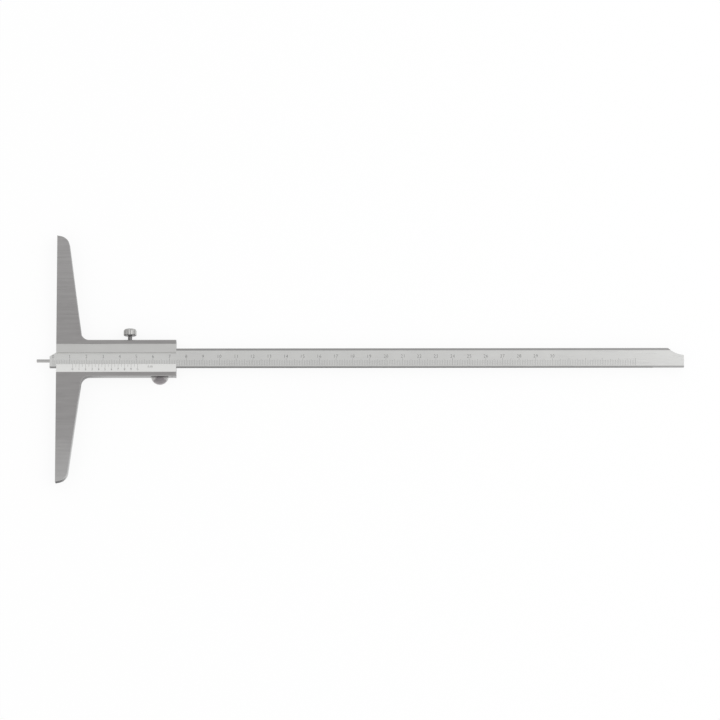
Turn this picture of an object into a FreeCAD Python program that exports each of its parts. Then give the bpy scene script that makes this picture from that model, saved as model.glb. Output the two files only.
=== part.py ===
import FreeCAD, Part
import math
import os
import Sketcher

# A depth caliper with a round measuring needle, 300 mm range, on a 150 mm bridge.
# It lies on its back, scale up. X runs along the beam, away from the surface that
# is measured; x = 0 is the measuring face of the bridge, y = 0 the middle of the
# bridge and z = 0 the flat back of the slider. Sizes are in millimetres.

doc = FreeCAD.newDocument("depth_caliper")
sheet = doc.addObject("Spreadsheet::Sheet", "Sizes")

DRIVING_SIZES = {
    # the beam, a flat strip, and how far its needle stands out of the bridge
    "beam_length": 381.2,
    "beam_width": 11.4,
    "beam_thickness": 3.5,
    "beam_shift": 0.3,
    "upper_rail": 1.25,
    "lower_rail": 0.6,
    "rail_relief": 0.1,
    "tip_bevel_length": 7.9,
    "tip_bevel_width": 4.7,
    "end_scallop_radius": 15.5,
    "end_scallop_length": 9.4,
    "end_scallop_depth": 4.2,
    "needle_diameter": 2.0,
    "needle_length": 7.8,
    "needle_shank": 1.6,
    "needle_seat": 9.0,
    "needle_offset": 1.2,
    "needle_bevel": 0.15,
    "reading": 11.85,
    # the slot under the beam that the stop pin runs in
    "stop_slot_depth": 1.1,
    "stop_slot_margin": 0.1,
    "stop_slot_land": 18.5,
    # the slider and its two lips that hold the beam in
    "slide_clearance": 0.05,
    "slider_length": 72.0,
    "side_wall": 5.25,
    "back_wall": 2.3,
    "lip_thickness": 1.9,
    "lip_reach": 2.3,
    "face_relief": 0.2,
    "ground_band": 2.5,
    "vernier_edge": 0.4,
    "edge_break": 0.3,
    # the bridge, ground in one piece with the slider
    "bridge_length": 150.0,
    "blade_root": 15.4,
    "blade_tip": 6.7,
    "blade_end_drop": 1.45,
    "blade_end_radius": 6.5,
    "web_radius": 5.0,
    # the clamp: a screw that presses a bowed leaf spring on the beam
    "screw_diameter": 2.5,
    "screw_clearance": 0.03,
    "screw_gap": 0.05,
    "screw_setback": 27.9,
    "neck_length": 3.0,
    "head_diameter": 7.8,
    "head_height": 4.2,
    "head_top_round": 1.6,
    "head_low_round": 0.6,
    "head_flutes": 12,
    "flute_diameter": 1.5,
    "flute_depth": 0.3,
    "point_bevel": 0.5,
    "spring_half_length": 22.0,
    "spring_thickness": 0.4,
    "spring_rise": 0.85,
    "spring_gap": 0.02,
    "spring_side_gap": 0.15,
    "spring_end_gap": 0.6,
    # the thumb rest, a half-moon pressed into the lower side
    "rest_radius": 5.3,
    "rest_overhang": 4.25,
    "rest_thickness": 2.6,
    "rest_lift": 0.3,
    "rest_setback": 9.95,
    "rest_dish": 0.25,
    "rest_rim": 0.9,
    "rest_edge": 0.3,
    "spigot_diameter": 2.0,
    "spigot_length": 3.0,
    # the pin that stops the beam at the end of its range
    "stop_pin_diameter": 1.5,
    "stop_pin_setback": 2.5,
    "stop_pin_reach": 0.85,
    "stop_pin_recess": 0.15,
    # pressed and driven joints are drawn with this much room all round
    "press_room": 0.01,
}

for row, (alias, size) in enumerate(DRIVING_SIZES.items(), start=1):
    sheet.set(f"A{row}", alias.replace("_", " "))
    sheet.set(f"B{row}", str(size))
    sheet.setAlias(f"B{row}", alias)
doc.recompute()

# Places that several pieces share, worked out from the sheet
CHANNEL_HALF = "(Sizes.beam_width / 2 + Sizes.slide_clearance)"
CHANNEL_UPPER = f"({CHANNEL_HALF} + Sizes.beam_shift)"
CHANNEL_LOWER = f"({CHANNEL_HALF} - Sizes.beam_shift)"
CHANNEL_TOP = "(Sizes.back_wall + Sizes.beam_thickness + 2 * Sizes.slide_clearance)"
SLIDER_HALF = f"({CHANNEL_HALF} + Sizes.side_wall)"
RELIEF_LEVEL = f"({CHANNEL_TOP} + Sizes.lip_thickness)"
SLIDER_TOP = f"({RELIEF_LEVEL} + Sizes.face_relief)"
WINDOW_HALF = f"({CHANNEL_HALF} - Sizes.lip_reach)"
BAND_EDGE = f"({SLIDER_HALF} - Sizes.ground_band)"
MID_LEVEL = "(Sizes.back_wall + Sizes.slide_clearance + Sizes.beam_thickness / 2)"
BEAM_START = "(Sizes.needle_length - Sizes.reading)"
SCREW_PLACE = "(Sizes.slider_length - Sizes.screw_setback)"
STOP_PLACE = "(Sizes.slider_length - Sizes.stop_pin_setback)"
REST_PLACE = "(Sizes.slider_length - Sizes.rest_setback)"
SPRING_SEAT = "(Sizes.beam_width / 2 + Sizes.beam_shift + Sizes.spring_gap)"
SPRING_TOP = f"({SPRING_SEAT} + Sizes.spring_rise + Sizes.spring_thickness)"
POCKET_TOP = f"({SPRING_TOP} + Sizes.spring_side_gap)"
SCREW_TIP = f"({SPRING_TOP} + Sizes.screw_gap)"
STOP_PIN_FOOT = f"({SLIDER_HALF} - Sizes.stop_pin_recess)"
STOP_PIN_END = "(Sizes.beam_width / 2 - Sizes.beam_shift - Sizes.stop_pin_reach)"
REST_SEAT = "(Sizes.rest_overhang - Sizes.rest_radius)"
REST_LEVEL = "(Sizes.rest_lift + Sizes.rest_thickness / 2)"
# a cut starts or ends this far outside the solid, so that it leaves no skin
OVERCUT = "1"


def number(formula):
    """The value of a formula at the present sizes."""
    return float(sheet.evalExpression(formula))


def new_body(name):
    body = doc.addObject("PartDesign::Body", name)
    body.Label = name
    return body


def place(body, x="0", y="0", z="0"):
    for letter, formula in zip("xyz", (x, y, z)):
        body.setExpression(f"Placement.Base.{letter}", formula)


def new_sketch(body, name, role, distance="0"):
    """A sketch on one of the body's own origin planes, moved along its normal."""
    sketch = body.newObject("Sketcher::SketchObject", name)
    plane = next(f for f in body.Origin.OriginFeatures if f.Role == role)
    sketch.AttachmentSupport = [(plane, "")]
    sketch.MapMode = "FlatFace"
    sketch.setExpression("AttachmentOffset.Base.z", distance)
    return sketch


def hold(sketch, kind, formula, *where):
    """A dimension that follows a formula."""
    index = sketch.addConstraint(Sketcher.Constraint(kind, *where, number(formula)))
    name = f"size_{index}"
    sketch.renameConstraint(index, name)
    sketch.setExpression(f"Constraints.{name}", formula)


def hold_point(sketch, line, end, x, y):
    """Ties one end of a line or arc to formulas for its two coordinates."""
    for kind, formula, axis in (("DistanceX", x, -2), ("DistanceY", y, -1)):
        if formula == "0":
            sketch.addConstraint(Sketcher.Constraint("PointOnObject", line, end, axis))
        else:
            hold(sketch, kind, formula, -1, 1, line, end)


def draw_outline(sketch, corners):
    """A closed outline of straight lines, its corners held by pairs of formulas."""
    points = [FreeCAD.Vector(number(x), number(y), 0) for x, y in corners]
    for start, end in zip(points, points[1:] + points[:1]):
        sketch.addGeometry(Part.LineSegment(start, end), False)
    for line in range(len(corners)):
        after = (line + 1) % len(corners)
        sketch.addConstraint(Sketcher.Constraint("Coincident", line, 2, after, 1))
    for line, (x, y) in enumerate(corners):
        hold_point(sketch, line, 1, x, y)


def draw_rectangle(sketch, x_from, x_to, y_from, y_to):
    corners = [(x_from, y_from), (x_to, y_from), (x_to, y_to), (x_from, y_to)]
    draw_outline(sketch, corners)


def draw_circle(sketch, x, y, diameter):
    centre = FreeCAD.Vector(number(x), number(y), 0)
    normal = FreeCAD.Vector(0, 0, 1)
    circle = Part.Circle(centre, normal, number(diameter) / 2)
    line = sketch.addGeometry(circle, False)
    hold_point(sketch, line, 3, x, y)
    hold(sketch, "Diameter", diameter, line)


def checked(body, feature, grows):
    """Recomputes the feature and makes sure that it added or took away material."""
    before = feature.BaseFeature.Shape.Volume if feature.BaseFeature else 0.0
    doc.recompute()
    gain = feature.Shape.Volume - before
    if (gain > 0) != grows or abs(gain) < 1e-6:
        raise RuntimeError(f"{body.Label}: {feature.Name} changed nothing")
    return feature


def pad(body, sketch, length, reverse=False):
    feature = body.newObject("PartDesign::Pad", f"{sketch.Name}_pad")
    feature.Profile = sketch
    feature.Reversed = reverse
    feature.setExpression("Length", length)
    return checked(body, feature, grows=True)


def pocket(body, sketch, length, reverse=False):
    """A cut of the given length, or right through where the length is None."""
    feature = body.newObject("PartDesign::Pocket", f"{sketch.Name}_cut")
    feature.Profile = sketch
    feature.Reversed = reverse
    if length is None:
        feature.Type = "ThroughAll"
    else:
        feature.setExpression("Length", length)
    return checked(body, feature, grows=False)


def spin(body, sketch, kind, grows):
    """Turns a sketch once round its own vertical axis."""
    feature = body.newObject(f"PartDesign::{kind}", f"{sketch.Name}_turned")
    feature.Profile = sketch
    feature.ReferenceAxis = (sketch, ["V_Axis"])
    feature.Angle = 360
    return checked(body, feature, grows)


def edges_through(feature, points):
    """The names of the feature's edges that pass through the points."""
    names = []
    for x, y, z in points:
        probe = Part.Vertex(x, y, z)
        for index, edge in enumerate(feature.Shape.Edges, start=1):
            if edge.distToShape(probe)[0] < 1e-4:
                names.append(f"Edge{index}")
    if not names:
        raise RuntimeError(f"{feature.Name}: no edge where one was expected")
    return names


def dress(body, kind, name, feature, names, size):
    """A fillet or a chamfer on some edges of a feature."""
    finish = body.newObject(f"PartDesign::{kind}", name)
    finish.Base = (feature, names)
    finish.setExpression("Radius" if kind == "Fillet" else "Size", size)
    doc.recompute()
    return finish


def blade_width(y):
    """The bridge's width at a distance y from the middle, as a formula."""
    run = f"(Sizes.bridge_length / 2 - {SLIDER_HALF})"
    slope = f"((Sizes.blade_root - Sizes.blade_tip) / {run})"
    return f"(Sizes.blade_root - {slope} * ({y} - {SLIDER_HALF}))"


# Slider and bridge: one block of hardened steel, with the channel milled through it


def make_slider_bridge():
    body = new_body("slider_bridge")
    half_bridge = "(Sizes.bridge_length / 2)"
    blade_end = f"({half_bridge} - Sizes.blade_end_drop)"
    end_width = blade_width(blade_end)
    upper = [
        ("Sizes.slider_length", SLIDER_HALF),
        ("Sizes.blade_root", SLIDER_HALF),
        (end_width, blade_end),
        ("0", half_bridge),
    ]
    lower = [(x, f"-{y}") for x, y in reversed(upper)]
    outline = new_sketch(body, "block_outline", "XY_Plane")
    draw_outline(outline, upper + lower)
    block = pad(body, outline, SLIDER_TOP)

    middle = number(SLIDER_TOP) / 2
    side = number(SLIDER_HALF)
    root = number("Sizes.blade_root")
    webs = [(root, side, middle), (root, -side, middle)]
    names = edges_through(block, webs)
    block = dress(body, "Fillet", "webs", block, names, "Sizes.web_radius")

    end_y = number(blade_end)
    end_x = number(end_width)
    tips = [(end_x, end_y, middle), (end_x, -end_y, middle)]
    names = edges_through(block, tips)
    block = dress(body, "Fillet", "tips", block, names, "Sizes.blade_end_radius")

    # every outer edge is broken, but for those of the lapped measuring face
    names = []
    for index, edge in enumerate(block.Shape.Edges, start=1):
        box = edge.BoundBox
        flat = box.ZLength < 1e-6
        if flat and box.XMax > 1e-6:
            names.append(f"Edge{index}")
    block = dress(body, "Chamfer", "broken_edges", block, names, "Sizes.edge_break")

    # the section of the channel, the window over the scale, the vernier's slope
    # and the shallow relief beside the upper band
    above = f"({SLIDER_TOP} + {OVERCUT})"
    section = new_sketch(body, "channel_section", "YZ_Plane")
    draw_outline(
        section,
        [
            (f"-{CHANNEL_LOWER}", "Sizes.back_wall"),
            (CHANNEL_UPPER, "Sizes.back_wall"),
            (CHANNEL_UPPER, CHANNEL_TOP),
            (WINDOW_HALF, CHANNEL_TOP),
            (WINDOW_HALF, RELIEF_LEVEL),
            (BAND_EDGE, RELIEF_LEVEL),
            (BAND_EDGE, above),
            (f"-{BAND_EDGE}", above),
            (f"-{BAND_EDGE}", SLIDER_TOP),
            (f"-{WINDOW_HALF}", f"({CHANNEL_TOP} + Sizes.vernier_edge)"),
            (f"-{WINDOW_HALF}", CHANNEL_TOP),
            (f"-{CHANNEL_LOWER}", CHANNEL_TOP),
        ],
    )
    pocket(body, section, None, reverse=True)

    # the closed pocket for the leaf spring, in the upper wall of the channel
    reach = "(Sizes.spring_half_length + Sizes.spring_end_gap)"
    spring_pocket = new_sketch(body, "spring_pocket", "XZ_Plane", f"-{POCKET_TOP}")
    draw_rectangle(
        spring_pocket,
        f"({SCREW_PLACE} - {reach})",
        f"({SCREW_PLACE} + {reach})",
        "Sizes.back_wall",
        CHANNEL_TOP,
    )
    pocket(body, spring_pocket, f"{POCKET_TOP} - {CHANNEL_UPPER}", reverse=True)

    # the screw's hole, down to the spring
    screw_hole = new_sketch(body, "screw_hole", "XZ_Plane", f"-{SLIDER_HALF}")
    bore = "(Sizes.screw_diameter + 2 * Sizes.screw_clearance)"
    draw_circle(screw_hole, SCREW_PLACE, MID_LEVEL, bore)
    pocket(body, screw_hole, f"{SLIDER_HALF} - {POCKET_TOP}", reverse=True)

    # the two holes in the lower side: the thumb rest's, blind, and the stop pin's
    rest_hole = new_sketch(body, "rest_hole", "XZ_Plane", SLIDER_HALF)
    bore = "(Sizes.spigot_diameter + 2 * Sizes.press_room)"
    draw_circle(rest_hole, REST_PLACE, REST_LEVEL, bore)
    pocket(body, rest_hole, "Sizes.spigot_length + Sizes.press_room")
    stop_hole = new_sketch(body, "stop_hole", "XZ_Plane", SLIDER_HALF)
    bore = "(Sizes.stop_pin_diameter + 2 * Sizes.press_room)"
    draw_circle(stop_hole, STOP_PLACE, MID_LEVEL, bore)
    pocket(body, stop_hole, f"{SLIDER_HALF} - {CHANNEL_LOWER}")
    return body


# Beam: a flat strip with two ground rails on its face and a stop slot below


def make_beam():
    body = new_body("beam")
    half = "(Sizes.beam_width / 2)"
    outline = new_sketch(body, "strip_outline", "XY_Plane")
    draw_outline(
        outline,
        [
            ("0", f"-{half}"),
            ("Sizes.beam_length", f"-{half}"),
            ("Sizes.beam_length", half),
            ("Sizes.tip_bevel_length", half),
            ("0", f"({half} - Sizes.tip_bevel_width)"),
        ],
    )
    pad(body, outline, "Sizes.beam_thickness")

    # the scalloped upper corner of the far end: a circle through the two points
    # where it leaves the upper edge and the end
    across = "Sizes.end_scallop_length"
    down = "Sizes.end_scallop_depth"
    radius = "Sizes.end_scallop_radius"
    chord = f"sqrt(pow({across}; 2) + pow({down}; 2))"
    rise = f"sqrt(pow({radius}; 2) - pow({chord} / 2; 2))"
    scallop = new_sketch(body, "end_scallop", "XY_Plane")
    draw_circle(
        scallop,
        f"(Sizes.beam_length - {across} / 2 + {rise} * {down} / {chord})",
        f"({half} - {down} / 2 + {rise} * {across} / {chord})",
        f"(2 * {radius})",
    )
    pocket(body, scallop, None, reverse=True)

    # the matte face lies a little below the rails
    relief = new_sketch(body, "face_relief", "XY_Plane", "Sizes.beam_thickness")
    upper = f"({half} - Sizes.upper_rail)"
    lower = f"(Sizes.lower_rail - {half})"
    start = f"(-{OVERCUT})"
    end = f"(Sizes.beam_length + {OVERCUT})"
    draw_rectangle(relief, start, end, lower, upper)
    pocket(body, relief, "Sizes.rail_relief")

    # the slot in the lower side, open at the needle's end
    slot = new_sketch(body, "stop_slot", "XZ_Plane", half)
    slot_half = "(Sizes.stop_pin_diameter / 2 + Sizes.stop_slot_margin)"
    level = "Sizes.beam_thickness / 2"
    far = "(Sizes.beam_length - Sizes.stop_slot_land)"
    low = f"({level} - {slot_half})"
    high = f"({level} + {slot_half})"
    draw_rectangle(slot, start, far, low, high)
    cut = pocket(body, slot, "Sizes.stop_slot_depth")
    far_x = number(far)
    slot_y = number(f"-{half} + Sizes.stop_slot_depth / 2")
    corners = [(far_x, slot_y, number(low)), (far_x, slot_y, number(high))]
    names = edges_through(cut, corners)
    dress(body, "Fillet", "slot_end", cut, names, f"0.98 * {slot_half}")

    # the bore for the needle
    bore = new_sketch(body, "needle_bore", "YZ_Plane")
    size = "(Sizes.needle_shank + 2 * Sizes.press_room)"
    draw_circle(bore, "-(Sizes.needle_offset + Sizes.beam_shift)", level, size)
    pocket(body, bore, "Sizes.needle_seat + Sizes.press_room", reverse=True)
    level = "Sizes.back_wall + Sizes.slide_clearance"
    place(body, x=BEAM_START, y="Sizes.beam_shift", z=level)
    return body


# Needle: a hardened round pin, its thinner shank pressed into the beam's end


def make_depth_pin():
    body = new_body("depth_pin")
    profile = new_sketch(body, "needle_profile", "XZ_Plane")
    radius = "(Sizes.needle_diameter / 2)"
    shank = "(Sizes.needle_shank / 2)"
    length = "(Sizes.needle_length + Sizes.needle_seat)"
    draw_outline(
        profile,
        [
            ("0", "0"),
            (f"({radius} - Sizes.needle_bevel)", "0"),
            (radius, "Sizes.needle_bevel"),
            (radius, "Sizes.needle_length"),
            (shank, "Sizes.needle_length"),
            (shank, f"({length} - Sizes.needle_bevel)"),
            (f"({shank} - Sizes.needle_bevel)", length),
            ("0", length),
        ],
    )
    spin(body, profile, "Revolution", grows=True)
    quarter_turn = FreeCAD.Rotation(FreeCAD.Vector(0, 1, 0), 90)
    body.Placement = FreeCAD.Placement(FreeCAD.Vector(), quarter_turn)
    place(body, x="-Sizes.reading", y="-Sizes.needle_offset", z=MID_LEVEL)
    return body


# Leaf spring: a bowed bronze strip whose ends bear on the beam's upper edge


def make_leaf_spring():
    body = new_body("leaf_spring")
    profile = new_sketch(body, "bow_profile", "XY_Plane")
    half = number("Sizes.spring_half_length")
    rise = number("Sizes.spring_rise")
    thick = number("Sizes.spring_thickness")
    point = FreeCAD.Vector
    inner = Part.Arc(point(half, 0, 0), point(0, rise, 0), point(-half, 0, 0))
    outer = Part.Arc(
        point(half, thick, 0), point(0, rise + thick, 0), point(-half, thick, 0)
    )
    profile.addGeometry(inner, False)
    profile.addGeometry(outer, False)
    for side in (half, -half):
        edge = Part.LineSegment(point(side, 0, 0), point(side, thick, 0))
        profile.addGeometry(edge, False)
    arc_radius = (
        "((pow(Sizes.spring_half_length; 2) + pow(Sizes.spring_rise; 2))"
        " / (2 * Sizes.spring_rise))"
    )
    ends = ("Sizes.spring_half_length", "(-Sizes.spring_half_length)")
    for arc, level in ((0, "0"), (1, "Sizes.spring_thickness")):
        hold_point(profile, arc, 1, ends[0], level)
        hold_point(profile, arc, 2, ends[1], level)
        hold(profile, "Radius", arc_radius, arc)
    for line, end in ((2, 1), (3, 2)):
        profile.addConstraint(Sketcher.Constraint("Coincident", line, 1, 0, end))
        profile.addConstraint(Sketcher.Constraint("Coincident", line, 2, 1, end))
    width = "(Sizes.beam_thickness - 2 * Sizes.spring_side_gap)"
    pad(body, profile, width)
    level = "Sizes.back_wall + Sizes.slide_clearance + Sizes.spring_side_gap"
    place(body, x=SCREW_PLACE, y=SPRING_SEAT, z=level)
    return body


# Lock screw: a fluted head on a thin neck, its point just clear of the spring


def make_lock_screw():
    body = new_body("lock_screw")
    shank = "(Sizes.screw_diameter / 2)"
    head = "(Sizes.head_diameter / 2)"
    head_low = f"({SLIDER_HALF} + Sizes.neck_length - {SCREW_TIP})"
    head_high = f"({head_low} + Sizes.head_height)"
    profile = new_sketch(body, "screw_profile", "XY_Plane")
    draw_outline(
        profile,
        [
            ("0", "0"),
            (f"({shank} - Sizes.point_bevel)", "0"),
            (shank, "Sizes.point_bevel"),
            (shank, head_low),
            (head, head_low),
            (head, head_high),
            ("0", head_high),
        ],
    )
    rounded = spin(body, profile, "Revolution", grows=True)
    rims = [
        ("low_rim", head_low, "Sizes.head_low_round"),
        ("top_rim", head_high, "Sizes.head_top_round"),
    ]
    for name, level, radius in rims:
        names = edges_through(rounded, [(number(head), number(level), 0)])
        rounded = dress(body, "Fillet", name, rounded, names, radius)

    flute = new_sketch(body, "flute", "XZ_Plane", f"-({head_high} + {OVERCUT})")
    centre = f"({head} + Sizes.flute_diameter / 2 - Sizes.flute_depth)"
    draw_circle(flute, centre, "0", "Sizes.flute_diameter")
    cut = pocket(body, flute, f"Sizes.head_height + 2 * {OVERCUT}", reverse=True)
    flutes = body.newObject("PartDesign::PolarPattern", "flutes")
    flutes.Originals = [cut]
    flutes.Axis = (flute, ["N_Axis"])
    flutes.Angle = 360
    flutes.setExpression("Occurrences", "Sizes.head_flutes")
    body.Tip = flutes
    doc.recompute()
    if flutes.Shape.Volume >= cut.Shape.Volume or cut.Shape.Volume >= rounded.Shape.Volume:
        raise RuntimeError("lock_screw: the flutes cut nothing")
    place(body, x=SCREW_PLACE, y=SCREW_TIP, z=MID_LEVEL)
    return body


# Thumb rest: a dished half-moon with a spigot, pressed into the lower side


def make_thumb_rest():
    body = new_body("thumb_rest")
    radius = number("Sizes.rest_radius")
    seat = number(REST_SEAT)
    half_chord = math.sqrt(radius**2 - seat**2)
    profile = new_sketch(body, "half_moon", "XY_Plane")
    point = FreeCAD.Vector
    bow = Part.Arc(
        point(-half_chord, seat, 0), point(0, -radius, 0), point(half_chord, seat, 0)
    )
    profile.addGeometry(bow, False)
    chord = Part.LineSegment(point(half_chord, seat, 0), point(-half_chord, seat, 0))
    profile.addGeometry(chord, False)
    profile.addConstraint(Sketcher.Constraint("Coincident", 0, 2, 1, 1))
    profile.addConstraint(Sketcher.Constraint("Coincident", 1, 2, 0, 1))
    profile.addConstraint(Sketcher.Constraint("Coincident", 0, 3, -1, 1))
    profile.addConstraint(Sketcher.Constraint("Horizontal", 1))
    hold(profile, "Radius", "Sizes.rest_radius", 0)
    hold(profile, "DistanceY", REST_SEAT, -1, 1, 1, 1)
    moon = pad(body, profile, "Sizes.rest_thickness")

    # a shallow turned dish in the face, inside a narrow rim
    dish = new_sketch(body, "dish", "XZ_Plane")
    face = "Sizes.rest_thickness"
    draw_outline(
        dish,
        [
            ("0", f"({face} - Sizes.rest_dish)"),
            ("(Sizes.rest_radius - Sizes.rest_rim)", face),
            ("0", face),
        ],
    )
    dished = spin(body, dish, "Groove", grows=False)
    bottom = number("-Sizes.rest_radius")
    top = number(face)
    rims = [(0, bottom, 0), (0, bottom, top)]
    names = edges_through(dished, rims)
    dress(body, "Chamfer", "rest_edges", dished, names, "Sizes.rest_edge")

    spigot = new_sketch(body, "spigot", "XZ_Plane", f"-{REST_SEAT}")
    draw_circle(spigot, "0", f"{face} / 2", "Sizes.spigot_diameter")
    pad(body, spigot, "Sizes.spigot_length", reverse=True)
    place(body, x=REST_PLACE, y=f"-({SLIDER_HALF} + {REST_SEAT})", z="Sizes.rest_lift")
    return body


# Stop pin: driven into the lower side, its end stands in the beam's slot


def make_stop_pin():
    body = new_body("stop_pin")
    profile = new_sketch(body, "pin_round", "XZ_Plane", STOP_PIN_FOOT)
    draw_circle(profile, STOP_PLACE, MID_LEVEL, "Sizes.stop_pin_diameter")
    pad(body, profile, f"{STOP_PIN_FOOT} - {STOP_PIN_END}", reverse=True)
    return body


bodies = [
    make_slider_bridge(),
    make_beam(),
    make_depth_pin(),
    make_leaf_spring(),
    make_lock_screw(),
    make_thumb_rest(),
    make_stop_pin(),
]
doc.recompute()

for item in doc.Objects:
    if "Invalid" in item.State or "Error" in item.State:
        raise RuntimeError(f"{item.Name} failed: {item.State}")
for body in bodies:
    if body.Shape.isNull() or not body.Shape.isValid():
        raise RuntimeError(f"{body.Label} has no valid shape")
    if len(body.Shape.Solids) != 1:
        raise RuntimeError(f"{body.Label} is not one solid")

os.makedirs("parts", exist_ok=True)
for body in bodies:
    body.Shape.exportStep(f"parts/{body.Label}.step")
    box = body.Shape.BoundBox
    print(
        f"{body.Label}: x {box.XMin:.2f} to {box.XMax:.2f},"
        f" y {box.YMin:.2f} to {box.YMax:.2f}, z {box.ZMin:.2f} to {box.ZMax:.2f},"
        f" volume {body.Shape.Volume:.1f}"
    )
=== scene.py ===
from math import atan2, pi

import bmesh
import bpy
from mathutils import Matrix, Vector


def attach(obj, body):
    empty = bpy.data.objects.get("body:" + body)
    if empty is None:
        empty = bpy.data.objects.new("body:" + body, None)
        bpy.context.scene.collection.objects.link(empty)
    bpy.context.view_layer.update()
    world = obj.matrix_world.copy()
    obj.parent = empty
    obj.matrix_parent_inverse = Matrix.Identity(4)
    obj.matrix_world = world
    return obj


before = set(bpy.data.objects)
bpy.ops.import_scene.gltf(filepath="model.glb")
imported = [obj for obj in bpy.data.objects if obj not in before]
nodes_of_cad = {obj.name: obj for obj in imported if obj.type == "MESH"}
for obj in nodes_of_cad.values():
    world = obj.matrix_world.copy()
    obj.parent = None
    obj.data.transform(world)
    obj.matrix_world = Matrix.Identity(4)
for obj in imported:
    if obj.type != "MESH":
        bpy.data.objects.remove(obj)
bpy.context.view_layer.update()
scene = bpy.context.scene
scene.view_settings.view_transform = "Standard"

# Camera: a long lens almost straight above the tool, leaning a little towards the
# reader, as the catalogue picture was taken.
lens = bpy.data.cameras.new("long_lens")
lens.sensor_width = 36.0
lens.lens = 210.5
camera = bpy.data.objects.new("camera", lens)
camera.location = (0.16466, -0.42289, 2.5)
camera.rotation_euler = (0.16753, -0.006726, -0.0022486)
scene.collection.objects.link(camera)
scene.camera = camera

# Slider and bridge: one block of hardened steel, surface ground along the beam. The
# band above the window and the vernier's slope are satin chromed to read well.

MM = 0.001


def effect(name, inputs, outputs):
    """An empty node group with named sockets; inputs gives (kind, first value)."""
    tree = bpy.data.node_groups.new(name, "ShaderNodeTree")
    for label, (kind, first) in inputs.items():
        socket = tree.interface.new_socket(label, in_out="INPUT", socket_type=kind)
        socket.default_value = first
    for label, kind in outputs.items():
        tree.interface.new_socket(label, in_out="OUTPUT", socket_type=kind)
    entry = tree.nodes.new("NodeGroupInput")
    leave = tree.nodes.new("NodeGroupOutput")
    return tree, entry.outputs, leave.inputs


def add(tree, kind, inputs=None, **settings):
    """A node, with its settings made and its inputs linked or set."""
    node = tree.nodes.new(kind)
    for key, value in settings.items():
        setattr(node, key, value)
    for key, value in (inputs or {}).items():
        if isinstance(value, bpy.types.NodeSocket):
            tree.links.new(value, node.inputs[key])
        else:
            node.inputs[key].default_value = value
    return node


def maths(tree, operation, first, second=0.0, third=0.0):
    inputs = {0: first, 1: second, 2: third}
    return add(tree, "ShaderNodeMath", inputs, operation=operation).outputs[0]


def spread(tree, value, low, high, to_low, to_high, smooth=False):
    """Maps a value from one range to another, and stops at its ends."""
    kind = "SMOOTHSTEP" if smooth else "LINEAR"
    inputs = {0: value, 1: low, 2: high, 3: to_low, 4: to_high}
    return add(tree, "ShaderNodeMapRange", inputs, interpolation_type=kind).outputs[0]


def blend_colours(tree, amount, first, second):
    inputs = {0: amount, 6: first, 7: second}
    return add(tree, "ShaderNodeMix", inputs, data_type="RGBA").outputs[2]


def vector_maths(tree, operation, first, second=None):
    inputs = {0: first} if second is None else {0: first, 1: second}
    return add(tree, "ShaderNodeVectorMath", inputs, operation=operation).outputs


def noise(tree, place, scale, detail):
    inputs = {"Vector": place, "Scale": scale, "Detail": detail}
    return add(tree, "ShaderNodeTexNoise", inputs).outputs[0]


def object_place(tree):
    """Where a point lies on its piece, which is also where it lies in the frame."""
    return add(tree, "ShaderNodeTexCoord").outputs["Object"]


# grinding: long lines, with Stretch giving how many to the metre each way, and among
# them others that are some six times finer
tree, given, result = effect(
    "grinding_lines",
    {"Stretch": ("NodeSocketVector", (40.0, 1100.0, 1100.0))},
    {"Tone": "NodeSocketFloat", "Height": "NodeSocketFloat"},
)
here = object_place(tree)
wide = vector_maths(tree, "MULTIPLY", here, given["Stretch"])[0]
finer = {0: wide, "Scale": 6.3}
narrow = add(tree, "ShaderNodeVectorMath", finer, operation="SCALE").outputs[0]
passes = [noise(tree, way, 1.0, 2.5) for way in (wide, narrow)]
tone = maths(tree, "MULTIPLY_ADD", passes[0], 0.6, maths(tree, "MULTIPLY", passes[1], 0.4))
tree.links.new(spread(tree, tone, 0.3, 0.7, 0.0, 1.0), result["Tone"])
height = maths(tree, "MULTIPLY_ADD", passes[0], 0.25, maths(tree, "MULTIPLY", passes[1], 0.75))
tree.links.new(height, result["Height"])
grinding_lines = tree

# handling: a few hairline scratches and faint smears that only the gloss shows
tree, given, result = effect(
    "handling",
    {"Amount": ("NodeSocketFloat", 1.0)},
    {"Scratch": "NodeSocketFloat", "Smear": "NodeSocketFloat"},
)
here = object_place(tree)
hairlines = []
for turn, offset in ((0.5, 0.0), (-1.1, 3.7)):
    place = {"Vector": here, "Rotation": (0.0, 0.0, turn), "Scale": (35.0, 2600.0, 900.0)}
    turned = add(tree, "ShaderNodeMapping", place | {"Location": (offset, 0.0, 0.0)})
    streak = noise(tree, turned.outputs[0], 1.0, 0.0)
    hairlines.append(spread(tree, streak, 0.74, 0.78, 0.0, 1.0))
both = maths(tree, "MAXIMUM", hairlines[0], hairlines[1])
tree.links.new(maths(tree, "MULTIPLY", both, given["Amount"]), result["Scratch"])
cloud = noise(tree, here, 90.0, 3.0)
smear = spread(tree, cloud, 0.42, 0.68, 0.0, 1.0, smooth=True)
tree.links.new(maths(tree, "MULTIPLY", smear, given["Amount"]), result["Smear"])
handling = tree

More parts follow.
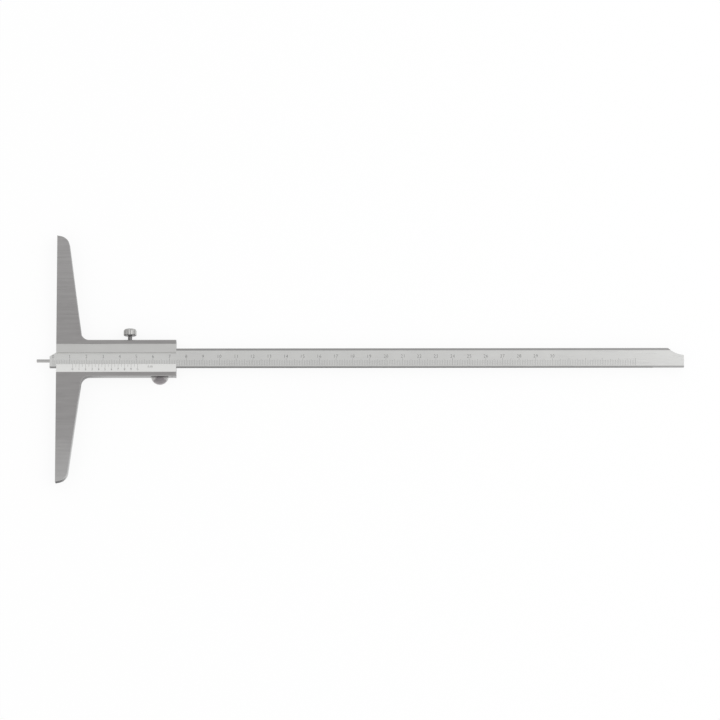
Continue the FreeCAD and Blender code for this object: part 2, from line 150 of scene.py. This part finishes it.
# worn edges: a mask that is 1 on a broken edge and 0 a little way in from it
tree, given, result = effect(
    "worn_edges",
    {"Width": ("NodeSocketFloat", 0.3 * MM)},
    {"Mask": "NodeSocketFloat"},
)
rounded = add(tree, "ShaderNodeBevel", {"Radius": given["Width"]}, samples=6)
sharp = add(tree, "ShaderNodeNewGeometry").outputs["Normal"]
agree = vector_maths(tree, "DOT_PRODUCT", rounded.outputs[0], sharp)["Value"]
here = object_place(tree)
nicks = noise(tree, here, 700.0, 2.0)
edge = spread(tree, agree, 0.995, 0.93, 0.0, 1.0)
worn = maths(tree, "MULTIPLY", edge, spread(tree, nicks, 0.3, 0.6, 0.45, 1.0))
tree.links.new(worn, result["Mask"])
worn_edges = tree


def metal(name):
    """A bare metal; gives its tree and its shader's inputs."""
    made = bpy.data.materials.new(name)
    made.use_nodes = True
    shader = made.node_tree.nodes["Principled BSDF"]
    shader.inputs["Metallic"].default_value = 1.0
    return made, made.node_tree, shader.inputs


def use(tree, group, **values):
    """The outputs of a shared effect, with its inputs linked or set."""
    return add(tree, "ShaderNodeGroup", values, node_tree=group).outputs


def emboss(tree, shader, height, distance, strength):
    """Fine relief in a finish, which is too small to model."""
    inputs = {"Height": height, "Distance": distance, "Strength": strength}
    tree.links.new(add(tree, "ShaderNodeBump", inputs).outputs[0], shader["Normal"])


def finish_cad(node, made):
    """Gives a CAD node its own finish."""
    mesh = nodes_of_cad[node].data
    mesh.materials.clear()
    mesh.materials.append(made)


GROUND_DARK = (0.326, 0.317, 0.315, 1.0)
GROUND_LIGHT = (0.374, 0.365, 0.363, 1.0)
SATIN_CHROME = (0.775, 0.775, 0.762, 1.0)
SATIN_SHADE = (0.730, 0.730, 0.717, 1.0)
BLASTED = (0.595, 0.593, 0.582, 1.0)
BLASTED_SHADE = (0.560, 0.558, 0.548, 1.0)
EDGE_BRIGHT = (0.60, 0.60, 0.595, 1.0)
WALL_SHADE = (0.10, 0.10, 0.10, 1.0)
PAINTED_DARK_TONE = (0.045, 0.042, 0.044, 1.0)
# a broad flat face mirrors a little less than all at a glancing angle
SOFT_GLINT = (0.85, 0.85, 0.85, 1.0)

# the satin strips: the middle and half the width of each, and the height it starts at
band_middle, band_half, band_level = 5.95 * MM, 2.56 * MM, 6.0 * MM
slope_middle, slope_half, slope_level = -5.98 * MM, 2.515 * MM, 6.2 * MM
# where the long side walls, the slider's end, the blades' ends and their tips are
side_wall, slider_end, blade_end_from, blade_tip = 8.6 * MM, 71.6 * MM, 72.0 * MM, 74.0 * MM
# the thumb rest's middle, and the wall above it with the stretch where shade is painted
rest_x = 62.05 * MM
seat_wall, seat_half, seat_level = -10.9 * MM, 3.4 * MM, 3.9 * MM

ground_steel, tree, shader = metal("ground_steel")
shader["Specular Tint"].default_value = SOFT_GLINT
here = object_place(tree)
axes = add(tree, "ShaderNodeSeparateXYZ", {0: here}).outputs
lines = use(tree, grinding_lines, Stretch=(42.0, 1050.0, 1050.0))
marks = use(tree, handling, Amount=1.0)
edges = use(tree, worn_edges, Width=0.35 * MM)
# the satin band beside the window, and the vernier's slope across it
band = maths(tree, "COMPARE", axes[1], band_middle, band_half)
band = maths(tree, "MULTIPLY", band, maths(tree, "GREATER_THAN", axes[2], band_level))
slope = maths(tree, "COMPARE", axes[1], slope_middle, slope_half)
slope = maths(tree, "MULTIPLY", slope, maths(tree, "GREATER_THAN", axes[2], slope_level))
satin = maths(tree, "MAXIMUM", band, slope)
grain = noise(tree, here, 9000.0, 1.0)
ground = blend_colours(tree, lines["Tone"], GROUND_DARK, GROUND_LIGHT)
# hands have polished the blades towards their tips, the lower one more
polish_and_sheen = spread(tree, axes[1], -38.0 * MM, -blade_tip, 0.0, 0.5)
polish_and_sheen = maths(tree, "ADD", polish_and_sheen, spread(tree, axes[1], 20.0 * MM, blade_tip, 0.0, 0.2))
ground = blend_colours(tree, polish_and_sheen, ground, EDGE_BRIGHT)
speckle = spread(tree, grain, 0.35, 0.65, 0.0, 1.0)
chrome = blend_colours(tree, speckle, SATIN_SHADE, SATIN_CHROME)
colour = blend_colours(tree, slope, ground, chrome)
blasted = blend_colours(tree, speckle, BLASTED_SHADE, BLASTED)
colour = blend_colours(tree, band, colour, blasted)
# the narrow walls of the window between the two strips are chromed too
turned_to = add(tree, "ShaderNodeNewGeometry").outputs["True Normal"]
facing = add(tree, "ShaderNodeSeparateXYZ", {0: turned_to}).outputs
standing = maths(tree, "LESS_THAN", maths(tree, "ABSOLUTE", facing[2]), 0.5)
colour = blend_colours(tree, maths(tree, "MULTIPLY", standing, satin), colour, SATIN_CHROME)
colour = blend_colours(tree, maths(tree, "MULTIPLY", edges["Mask"], 0.3), colour, EDGE_BRIGHT)
# the long side walls are smoother, and painted shade darkens them towards their top;
# the measuring face and the slider's end are left as ground
away = maths(tree, "ABSOLUTE", axes[1])
wall = maths(tree, "MULTIPLY", standing, maths(tree, "GREATER_THAN", away, side_wall))
wall = maths(tree, "MULTIPLY", wall, maths(tree, "GREATER_THAN", facing[0], -0.5))
wall = maths(tree, "MULTIPLY", wall, maths(tree, "LESS_THAN", axes[0], slider_end))
painted_wall_shade = maths(tree, "MULTIPLY", wall, spread(tree, axes[2], 1.0 * MM, 7.0 * MM, 0.0, 0.6))
colour = blend_colours(tree, painted_wall_shade, colour, WALL_SHADE)
# painted shade darkens the webs and the corner over the thumb rest; the blades' ends are
# darkened too
web_shade = maths(tree, "MULTIPLY", spread(tree, axes[0], 29.0 * MM, 18.0 * MM, 0.0, 0.4), wall)
web_shade = maths(tree, "MULTIPLY", web_shade, spread(tree, away, 18.0 * MM, 26.0 * MM, 1.0, 0.0))
from_rest = maths(tree, "ABSOLUTE", maths(tree, "SUBTRACT", axes[0], rest_x))
beside = maths(tree, "MAXIMUM", maths(tree, "SUBTRACT", from_rest, seat_half), 0.0)
over = maths(tree, "MAXIMUM", maths(tree, "SUBTRACT", axes[2], seat_level), 0.0)
squares = maths(tree, "MULTIPLY_ADD", beside, beside, maths(tree, "MULTIPLY", over, over))
reach = maths(tree, "SQRT", squares)
wobble = noise(tree, here, 800.0, 3.0)
reach = maths(tree, "MULTIPLY_ADD", maths(tree, "SUBTRACT", wobble, 0.5), 2.0 * MM, reach)
fade = spread(tree, reach, 1.3 * MM, 2.4 * MM, 0.95, 0.0, smooth=True)
rest_shade = maths(tree, "MULTIPLY", wall, fade)
rest_shade = maths(tree, "MULTIPLY", rest_shade, maths(tree, "LESS_THAN", axes[1], seat_wall))
blade_end = spread(tree, maths(tree, "ABSOLUTE", facing[1]), 0.6, 0.95, 0.0, 0.9)
blade_end = maths(tree, "MULTIPLY", blade_end, maths(tree, "GREATER_THAN", away, blade_end_from))
painted_dark = maths(tree, "MAXIMUM", maths(tree, "MAXIMUM", web_shade, rest_shade), blade_end)
painted_dark = maths(tree, "MULTIPLY", painted_dark, spread(tree, wobble, 0.35, 0.6, 0.8, 1.0))
colour = blend_colours(tree, painted_dark, colour, PAINTED_DARK_TONE)
tree.links.new(colour, shader["Base Color"])
tree.links.new(maths(tree, "SUBTRACT", 1.0, painted_dark), shader["Metallic"])
rough = spread(tree, lines["Tone"], 0.0, 1.0, 0.30, 0.38)
rough = maths(tree, "MULTIPLY_ADD", marks["Smear"], 0.035, rough)
rough = maths(tree, "MULTIPLY_ADD", marks["Scratch"], -0.08, rough)
rough = maths(tree, "MULTIPLY_ADD", satin, 0.09, rough)
rough = maths(tree, "MULTIPLY_ADD", wall, -0.17, rough)
rough = maths(tree, "MULTIPLY_ADD", painted_dark, 0.55, rough)
tree.links.new(rough, shader["Roughness"])
depth = maths(tree, "MULTIPLY", lines["Height"], maths(tree, "SUBTRACT", 1.0, satin))
depth = maths(tree, "MULTIPLY_ADD", maths(tree, "MULTIPLY", grain, satin), 0.5, depth)
depth = maths(tree, "MULTIPLY_ADD", marks["Scratch"], -0.6, depth)
emboss(tree, shader, depth, 0.012 * MM, 0.6)
finish_cad("slider_bridge", ground_steel)

# Vernier: twenty divisions over 39 mm, engraved and blackened on the slope, so that
# each is a twentieth of a millimetre short of two on the beam.

# the slope rises from the window's edge to the slider's face; sizes in millimetres
window_edge, window_level = 3.45, 6.3
face_edge, face_level = 8.5, 8.0
slope_foot = Vector((0.0, -window_edge * MM, window_level * MM))
slope_turn = -atan2(face_level - window_level, face_edge - window_edge)
on_slope = Matrix.Translation(slope_foot) @ Matrix.Rotation(slope_turn, 4, "X")
# the reading at rest, measured from the beam's own zero line
reading = 11.85 * MM
beam_zero = -2.0 * MM
vernier_zero = beam_zero + reading
mark_depth = 0.01 * MM


def engrave(line_mesh, x, low, high, width, plane):
    """One line along y on a plane, its top a little narrower than its foot."""
    size = Vector((width, high - low, 2 * mark_depth))
    middle = Vector((x, (low + high) / 2, 0.0))
    stand = plane @ Matrix.LocRotScale(middle, None, size)
    bar = bmesh.ops.create_cube(line_mesh, size=1.0, matrix=stand)["verts"]
    out = (plane.to_3x3() @ Vector((0.0, 0.0, 1.0))).normalized()
    level = (plane @ middle).dot(out)
    top = [v for v in bar if v.co.dot(out) > level]
    to_plane = plane.inverted()
    narrowed = Matrix.Translation(middle) @ Matrix.Diagonal((0.7, 0.97, 1.0, 1.0))
    narrowed = narrowed @ Matrix.Translation(-middle)
    bmesh.ops.transform(line_mesh, matrix=plane @ narrowed @ to_plane, verts=top)


def numeral(number_mesh, words, x, low, high, plane, pen=-0.010):
    """Plain thin figures, as high as asked and centred on x; a lower pen is finer."""
    letters = bpy.data.curves.new("figures", "FONT")
    letters.body = words
    letters.align_x = "CENTER"
    letters.resolution_u = 3
    letters.offset = pen
    letters.space_character = 1.08
    letters.extrude = mark_depth
    flat = bpy.data.objects.new("figures", letters)
    shape = bpy.data.meshes.new_from_object(flat)
    feet = min(v.co.y for v in shape.vertices)
    crown = max(v.co.y for v in shape.vertices)
    left = min(v.co.x for v in shape.vertices)
    right = max(v.co.x for v in shape.vertices)
    tall = (high - low) / (crown - feet)
    size = Matrix.Diagonal((tall * 0.95, tall, 1.0, 1.0))
    centred = Matrix.Translation((-(left + right) / 2, -feet, 0.0))
    shape.transform(plane @ Matrix.Translation((x, low, 0.0)) @ size @ centred)
    number_mesh.from_mesh(shape)
    bpy.data.objects.remove(flat)
    bpy.data.curves.remove(letters)
    bpy.data.meshes.remove(shape)


def settle(name, made_mesh, made, body):
    """Closes a new mesh, gives it its finish and lets it ride on its body."""
    bmesh.ops.remove_doubles(made_mesh, verts=made_mesh.verts, dist=0.001 * MM)
    bmesh.ops.recalc_face_normals(made_mesh, faces=made_mesh.faces)
    mesh = bpy.data.meshes.new(name)
    made_mesh.to_mesh(mesh)
    made_mesh.free()
    mesh.materials.append(made)
    piece = bpy.data.objects.new(name, mesh)
    scene.collection.objects.link(piece)
    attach(piece, body)


# the blackening in the engraved lines, worn grey where the filling is thin
FILLED = (0.030, 0.030, 0.032, 1.0)
WORN_THIN = (0.105, 0.103, 0.100, 1.0)
blacking, tree, shader = metal("engraved_blacking")
shader["Metallic"].default_value = 0.0
here = object_place(tree)
fill = noise(tree, here, 1600.0, 3.0)
thin = spread(tree, fill, 0.42, 0.66, 0.0, 1.0)
tree.links.new(blend_colours(tree, thin, FILLED, WORN_THIN), shader["Base Color"])
tree.links.new(spread(tree, fill, 0.3, 0.7, 0.65, 0.45), shader["Roughness"])

# down the slope from the window's edge: the lines, then the figures under every other
line_step, figure_step = 1.95, 3.9
long_line, short_line, line_top, line_width = -2.6, -2.0, -0.06, 0.12
vernier_lines = bmesh.new()
for division in range(21):
    foot = long_line if division % 2 == 0 else short_line
    x = vernier_zero + division * line_step * MM
    engrave(vernier_lines, x, foot * MM, line_top * MM, line_width * MM, on_slope)
settle("vernier_lines", vernier_lines, blacking, "slider")

figure_low, figure_high = -4.25 * MM, -2.85 * MM
vernier_figures = bmesh.new()
for tenth in range(11):
    x = vernier_zero + tenth * figure_step * MM
    numeral(vernier_figures, str(tenth % 10), x, figure_low, figure_high, on_slope)
# the vernier's value stands beside its far end
value_x, value_low, value_high = 56.4 * MM, -2.35 * MM, -1.15 * MM
numeral(vernier_figures, "0.05", value_x, value_low, value_high, on_slope)
settle("vernier_figures", vernier_figures, blacking, "slider")

# Beam: a drawn steel strip, satin chromed, whose two rails are ground where the
# slider's lips run on them. The scale's face lies a tenth of a millimetre lower.

BEAM_SATIN_SHADE = (0.665, 0.665, 0.654, 1.0)
BEAM_SATIN = (0.715, 0.715, 0.702, 1.0)
BEAM_MOTTLE = (0.66, 0.66, 0.65, 1.0)
BEAM_PAINTED_LIGHT = (0.79, 0.79, 0.775, 1.0)
RAIL_DARK = (0.33, 0.326, 0.324, 1.0)
RAIL_LIGHT = (0.375, 0.371, 0.369, 1.0)

# across it: where the rails begin and where the sides do, the sides below side_top
upper_rail_edge, lower_rail_edge = 4.75 * MM, -4.8 * MM
beam_side, side_top = 5.38 * MM, 5.7 * MM
# along it: the painted light on the end fades in between these two
light_fades_at, light_full_at = 77.0 * MM, 62.0 * MM

satin_beam, tree, shader = metal("satin_beam")
shader["Specular Tint"].default_value = SOFT_GLINT
here = object_place(tree)
axes = add(tree, "ShaderNodeSeparateXYZ", {0: here}).outputs
lines = use(tree, grinding_lines, Stretch=(30.0, 2600.0, 2600.0))
marks = use(tree, handling, Amount=0.8)
edges = use(tree, worn_edges, Width=0.2 * MM)
grain = noise(tree, here, 9000.0, 1.0)
mottle = noise(tree, here, 60.0, 4.0)
upper_rail = maths(tree, "GREATER_THAN", axes[1], upper_rail_edge)
lower_rail = maths(tree, "LESS_THAN", axes[1], lower_rail_edge)
rails = maths(tree, "MAXIMUM", upper_rail, lower_rail)
speckle = spread(tree, grain, 0.35, 0.65, 0.0, 1.0)
satin = blend_colours(tree, speckle, BEAM_SATIN_SHADE, BEAM_SATIN)
satin = blend_colours(tree, spread(tree, mottle, 0.35, 0.75, 0.0, 0.25), satin, BEAM_MOTTLE)
# painted light brightens the beam's end, in and beyond the slider's window
window_light = spread(tree, axes[0], light_fades_at, light_full_at, 0.0, 0.45, smooth=True)
satin = blend_colours(tree, window_light, satin, BEAM_PAINTED_LIGHT)
ground = blend_colours(tree, lines["Tone"], RAIL_DARK, RAIL_LIGHT)
colour = blend_colours(tree, rails, satin, ground)
# painted shade darkens the two long sides a little
side_shade = maths(tree, "GREATER_THAN", maths(tree, "ABSOLUTE", axes[1]), beam_side)
side_shade = maths(tree, "MULTIPLY", side_shade, maths(tree, "LESS_THAN", axes[2], side_top))
colour = blend_colours(tree, maths(tree, "MULTIPLY", side_shade, 0.12), colour, WALL_SHADE)
colour = blend_colours(tree, maths(tree, "MULTIPLY", edges["Mask"], 0.4), colour, EDGE_BRIGHT)
tree.links.new(colour, shader["Base Color"])
rough = spread(tree, rails, 0.0, 1.0, 0.27, 0.28)
rough = maths(tree, "MULTIPLY_ADD", lines["Tone"], 0.05, rough)
rough = maths(tree, "MULTIPLY_ADD", marks["Smear"], 0.03, rough)
rough = maths(tree, "MULTIPLY_ADD", marks["Scratch"], -0.08, rough)
tree.links.new(rough, shader["Roughness"])
depth = maths(tree, "MULTIPLY_ADD", lines["Height"], 0.5, maths(tree, "MULTIPLY", grain, 0.4))
depth = maths(tree, "MULTIPLY_ADD", marks["Scratch"], -0.5, depth)
emboss(tree, shader, depth, 0.01 * MM, 0.5)
finish_cad("beam", satin_beam)

# Main scale: millimetre lines to 350 on the beam's face, longer at each five and
# ten, with the centimetres numbered up to 30. Engraved and blackened.

# sizes in millimetres: where the lines start and end across the beam, their widths,
# and the figures above them
scale_level = 5.75
line_foot, tenth_top, fifth_top, single_top = -4.4, 0.0, -0.55, -1.1
tenth_width, single_width = 0.13, 0.105
centimetre_low, centimetre_high = 0.3, 2.2

on_face = Matrix.Translation((0.0, 0.0, scale_level * MM))
scale_lines = bmesh.new()
for count in range(351):
    top, width = single_top, single_width
    if count % 10 == 0:
        top, width = tenth_top, tenth_width
    elif count % 5 == 0:
        top = fifth_top
    x = beam_zero + count * MM
    engrave(scale_lines, x, line_foot * MM, top * MM, width * MM, on_face)
settle("scale_lines", scale_lines, blacking, "beam")

scale_figures = bmesh.new()
for centimetre in range(31):
    x = beam_zero + centimetre * 10 * MM
    low, high = centimetre_low * MM, centimetre_high * MM
    numeral(scale_figures, str(centimetre), x, low, high, on_face, pen=-0.018)
settle("scale_figures", scale_figures, blacking, "beam")

# Measuring needle: a hardened steel rod, centreless ground, so that its fine lines
# run round it, and pressed into the beam's end.

ROD_DARK = (0.42, 0.415, 0.41, 1.0)
ROD_LIGHT = (0.49, 0.485, 0.48, 1.0)

hardened_pin, tree, shader = metal("hardened_pin")
rings = use(tree, grinding_lines, Stretch=(5200.0, 160.0, 160.0))
marks = use(tree, handling, Amount=0.8)
tree.links.new(blend_colours(tree, rings["Tone"], ROD_DARK, ROD_LIGHT), shader["Base Color"])
rough = spread(tree, rings["Tone"], 0.0, 1.0, 0.20, 0.30)
tree.links.new(maths(tree, "MULTIPLY_ADD", marks["Smear"], 0.05, rough), shader["Roughness"])
emboss(tree, shader, rings["Height"], 0.008 * MM, 0.6)
finish_cad("depth_pin", hardened_pin)

# Stop pin: a short piece of the same hardened rod, pressed into the slider's lower
# side. Its end runs in the beam's slot and ends the beam's travel.

finish_cad("stop_pin", hardened_pin)

# Leaf spring: a strip of rolled phosphor bronze, bowed, lying in its pocket between
# the slider and the beam.

BRONZE_DARK = (0.56, 0.36, 0.20, 1.0)
BRONZE_LIGHT = (0.68, 0.46, 0.28, 1.0)
BRONZE_TARNISH = (0.36, 0.22, 0.13, 1.0)

spring_bronze, tree, shader = metal("spring_bronze")
rolled = use(tree, grinding_lines, Stretch=(60.0, 1800.0, 1800.0))
here = object_place(tree)
tarnish = noise(tree, here, 260.0, 4.0)
bronze = blend_colours(tree, rolled["Tone"], BRONZE_DARK, BRONZE_LIGHT)
dull = spread(tree, tarnish, 0.45, 0.7, 0.0, 0.6)
tree.links.new(blend_colours(tree, dull, bronze, BRONZE_TARNISH), shader["Base Color"])
tree.links.new(spread(tree, tarnish, 0.35, 0.7, 0.28, 0.48), shader["Roughness"])
emboss(tree, shader, rolled["Height"], 0.01 * MM, 0.5)
finish_cad("leaf_spring", spring_bronze)

# Lock screw: turned from bar, with a fluted head for the fingers. Its threaded neck
# runs in the slider's upper side and presses the leaf spring on the beam.

SCREW_DARK = (0.36, 0.357, 0.348, 1.0)
SCREW_LIGHT = (0.44, 0.437, 0.427, 1.0)
SCREW_EDGE = (0.55, 0.55, 0.54, 1.0)
SCREW_OIL_AND_SHADE = (0.13, 0.125, 0.13, 1.0)

screw_axis = Vector((44.1 * MM, 0.0, 4.1 * MM))
# along it: the painted shade and the oil reach up to the head's underside
unshaded_from, shaded_to = 14.7 * MM, 14.2 * MM

# turning: fine rings round the axis of a piece, given the distance from that axis
tree, given, result = effect(
    "turned_rings",
    {"Radius": ("NodeSocketFloat", 0.0), "Pitch": ("NodeSocketFloat", 6000.0)},
    {"Tone": "NodeSocketFloat", "Height": "NodeSocketFloat"},
)
track = maths(tree, "MULTIPLY", given["Radius"], given["Pitch"])
along_track = {"W": track, "Scale": 1.0, "Detail": 2.0}
ring = add(tree, "ShaderNodeTexNoise", along_track, noise_dimensions="1D")
tree.links.new(spread(tree, ring.outputs[0], 0.3, 0.7, 0.0, 1.0), result["Tone"])
tree.links.new(ring.outputs[0], result["Height"])
turned_rings = tree


def out_from(tree, place, axis_point, across):
    """The way out from an axis to a place, and its length."""
    away = vector_maths(tree, "SUBTRACT", place, axis_point)[0]
    outward = vector_maths(tree, "MULTIPLY", away, across)[0]
    return outward, vector_maths(tree, "LENGTH", outward)["Value"]


turned_steel, tree, shader = metal("turned_steel")
here = object_place(tree)
outward, radius = out_from(tree, here, screw_axis, (1.0, 0.0, 1.0))
rings = use(tree, turned_rings, Radius=radius, Pitch=7000.0)
around = use(tree, grinding_lines, Stretch=(300.0, 3800.0, 300.0))
marks = use(tree, handling, Amount=1.0)
edges = use(tree, worn_edges, Width=0.25 * MM)
colour = blend_colours(tree, around["Tone"], SCREW_DARK, SCREW_LIGHT)
colour = blend_colours(tree, maths(tree, "MULTIPLY", edges["Mask"], 0.4), colour, SCREW_EDGE)
# painted shade darkens the head's underside and the neck under it, with oil on the thread as
# well
along = add(tree, "ShaderNodeSeparateXYZ", {0: here}).outputs[1]
oil_and_shade = spread(tree, along, unshaded_from, shaded_to, 0.0, 0.62)
oil_and_shade = maths(tree, "MULTIPLY", oil_and_shade, spread(tree, marks["Smear"], 0.0, 1.0, 1.0, 0.8))
colour = blend_colours(tree, oil_and_shade, colour, SCREW_OIL_AND_SHADE)
tree.links.new(colour, shader["Base Color"])
rough = spread(tree, rings["Tone"], 0.0, 1.0, 0.22, 0.30)
rough = maths(tree, "MULTIPLY_ADD", oil_and_shade, 0.15, rough)
tree.links.new(maths(tree, "MULTIPLY_ADD", marks["Smear"], 0.05, rough), shader["Roughness"])
depth = maths(tree, "ADD", rings["Height"], around["Height"])
emboss(tree, shader, depth, 0.01 * MM, 0.6)
finish_cad("lock_screw", turned_steel)

# the thread on the neck that shows between the head and the slider
thread_pitch, thread_turns, steps_round = 0.45 * MM, 6, 24
crest, root = 1.325 * MM, 1.20 * MM
thread_start, to_crest, to_root = 11.05 * MM, 0.11 * MM, 0.22 * MM
thread = bmesh.new()
corners = [
    thread.verts.new(screw_axis + Vector((out, thread_start + up, 0.0)))
    for out, up in ((root, 0.0), (crest, to_crest), (root, to_root))
]
ridge = thread.faces.new(corners)
bmesh.ops.spin(
    thread,
    geom=[ridge] + list(ridge.edges) + list(ridge.verts),
    cent=screw_axis,
    axis=(0.0, 1.0, 0.0),
    dvec=(0.0, thread_pitch / steps_round, 0.0),
    angle=2 * pi * thread_turns,
    steps=steps_round * thread_turns,
    use_merge=False,
)
settle("screw_thread", thread, turned_steel, "screw")

# Thumb rest: a half-moon of turned steel with a shallow dish in its face, pressed
# into the slider's lower side on a spigot.

REST_DARK = (0.465, 0.435, 0.450, 1.0)
REST_LIGHT = (0.555, 0.525, 0.540, 1.0)
REST_PAINTED_SHEEN = (0.80, 0.795, 0.78, 1.0)
rest_middle = (rest_x, -9.95 * MM, 0.0)

turned_rest, tree, shader = metal("turned_rest")
here = object_place(tree)
outward, radius = out_from(tree, here, rest_middle, (1.0, 1.0, 0.0))
rings = use(tree, turned_rings, Radius=radius, Pitch=9000.0)
marks = use(tree, handling, Amount=1.0)
colour = blend_colours(tree, rings["Tone"], REST_DARK, REST_LIGHT)
# a painted sheen makes its two shoulders pale, the left one more
sideways = add(tree, "ShaderNodeSeparateXYZ", {0: outward}).outputs[0]
turn = maths(tree, "DIVIDE", maths(tree, "ABSOLUTE", sideways), radius)
polish_and_sheen = spread(tree, turn, 0.70, 0.90, 0.0, 1.0, smooth=True)
polish_and_sheen = maths(tree, "MULTIPLY", polish_and_sheen, spread(tree, radius, 2.0 * MM, 3.6 * MM, 0.0, 1.0))
polish_and_sheen = maths(tree, "MULTIPLY", polish_and_sheen, spread(tree, sideways, -2.0 * MM, 2.0 * MM, 1.0, 0.75))
above = add(tree, "ShaderNodeSeparateXYZ", {0: here}).outputs[2]
polish_and_sheen = maths(tree, "MULTIPLY", polish_and_sheen, spread(tree, above, 1.9 * MM, 2.5 * MM, 0.0, 1.0))
colour = blend_colours(tree, polish_and_sheen, colour, REST_PAINTED_SHEEN)
tree.links.new(colour, shader["Base Color"])
tree.links.new(maths(tree, "MULTIPLY_ADD", polish_and_sheen, -0.55, 1.0), shader["Metallic"])
rough = spread(tree, rings["Tone"], 0.0, 1.0, 0.46, 0.56)
tree.links.new(maths(tree, "MULTIPLY_ADD", marks["Smear"], 0.05, rough), shader["Roughness"])
emboss(tree, shader, rings["Height"], 0.01 * MM, 0.6)
# the cutter's rings spread a reflection outwards and inwards, along the radius
shader["Anisotropic"].default_value = 0.9
world_way = {"vector_type": "VECTOR", "convert_from": "OBJECT", "convert_to": "WORLD"}
radial = add(tree, "ShaderNodeVectorTransform", {0: outward}, **world_way).outputs[0]
tree.links.new(vector_maths(tree, "NORMALIZE", radial)[0], shader["Tangent"])
finish_cad("thumb_rest", turned_rest)

# Studio: a pale matte table that keeps a faint shadow, a white room whose ceiling
# is greyer over the tool, and one soft lamp beyond the beam's far end.

table_half, table_middle = 6.0, (0.18, 0.0, -0.0002)
table = bmesh.new()
bmesh.ops.create_grid(table, x_segments=2, y_segments=2, size=table_half)
bmesh.ops.translate(table, verts=table.verts, vec=table_middle)
mesh = bpy.data.meshes.new("table")
table.to_mesh(mesh)
table.free()
floor = bpy.data.objects.new("table", mesh)
scene.collection.objects.link(floor)

TABLE_PALE = (0.92, 0.92, 0.92, 1.0)
WHITE = (1.0, 1.0, 1.0, 1.0)
# seen straight on, the table is mostly its own even white, and a little of its shading
table_white = bpy.data.materials.new("table_white")
table_white.use_nodes = True
tree = table_white.node_tree
tree.nodes.clear()
ray = add(tree, "ShaderNodeLightPath").outputs
seen = maths(tree, "MAXIMUM", ray["Is Camera Ray"], ray["Is Glossy Ray"])
seen = maths(tree, "MAXIMUM", seen, ray["Is Transmission Ray"])
matte = add(tree, "ShaderNodeBsdfDiffuse", {"Color": TABLE_PALE}).outputs[0]
white = add(tree, "ShaderNodeEmission", {"Color": WHITE, "Strength": 1.0}).outputs[0]
shading_kept = 0.12
bright = add(tree, "ShaderNodeMixShader", {0: shading_kept, 1: white, 2: matte}).outputs[0]
top = add(tree, "ShaderNodeMixShader", {0: seen, 1: matte, 2: bright}).outputs[0]
below = add(tree, "ShaderNodeNewGeometry").outputs["Backfacing"]
clear = add(tree, "ShaderNodeBsdfTransparent").outputs[0]
either = add(tree, "ShaderNodeMixShader", {0: below, 1: top, 2: clear}).outputs[0]
add(tree, "ShaderNodeOutputMaterial", {"Surface": either})
mesh.materials.append(table_white)

room = bpy.data.worlds.new("white_room")
scene.world = room
room.use_nodes = True
tree = room.node_tree
tree.nodes.clear()
way = add(tree, "ShaderNodeTexCoord").outputs["Generated"]
patch = {"Vector": way, "Location": (0.16, -0.04, 0.0), "Scale": (1.5, 0.9, 0.0)}
patch = add(tree, "ShaderNodeMapping", patch).outputs[0]
off_centre = vector_maths(tree, "LENGTH", patch)["Value"]
open_sky = spread(tree, off_centre, 0.10, 0.72, 0.66, 1.0, smooth=True)
rise = add(tree, "ShaderNodeSeparateXYZ", {0: way}).outputs[2]
downward = maths(tree, "LESS_THAN", rise, 0.0)
shade = maths(tree, "MAXIMUM", open_sky, downward)
ray = add(tree, "ShaderNodeLightPath").outputs
seen = maths(tree, "MAXIMUM", ray["Is Camera Ray"], shade)
backdrop = add(tree, "ShaderNodeBackground", {"Color": WHITE, "Strength": seen}).outputs[0]
add(tree, "ShaderNodeOutputWorld", {"Surface": backdrop})

softbox = bpy.data.lights.new("softbox", "AREA")
softbox.shape = "SQUARE"
softbox.size = 0.7
softbox.energy = 2.6
lamp = bpy.data.objects.new("softbox", softbox)
lamp.location = (1.0, 0.15, 1.1)
beam_far_end = Vector((0.35, 0.0, 0.0))
aim = beam_far_end - Vector(lamp.location)
lamp.rotation_euler = aim.to_track_quat("-Z", "Y").to_euler()
scene.collection.objects.link(lamp)
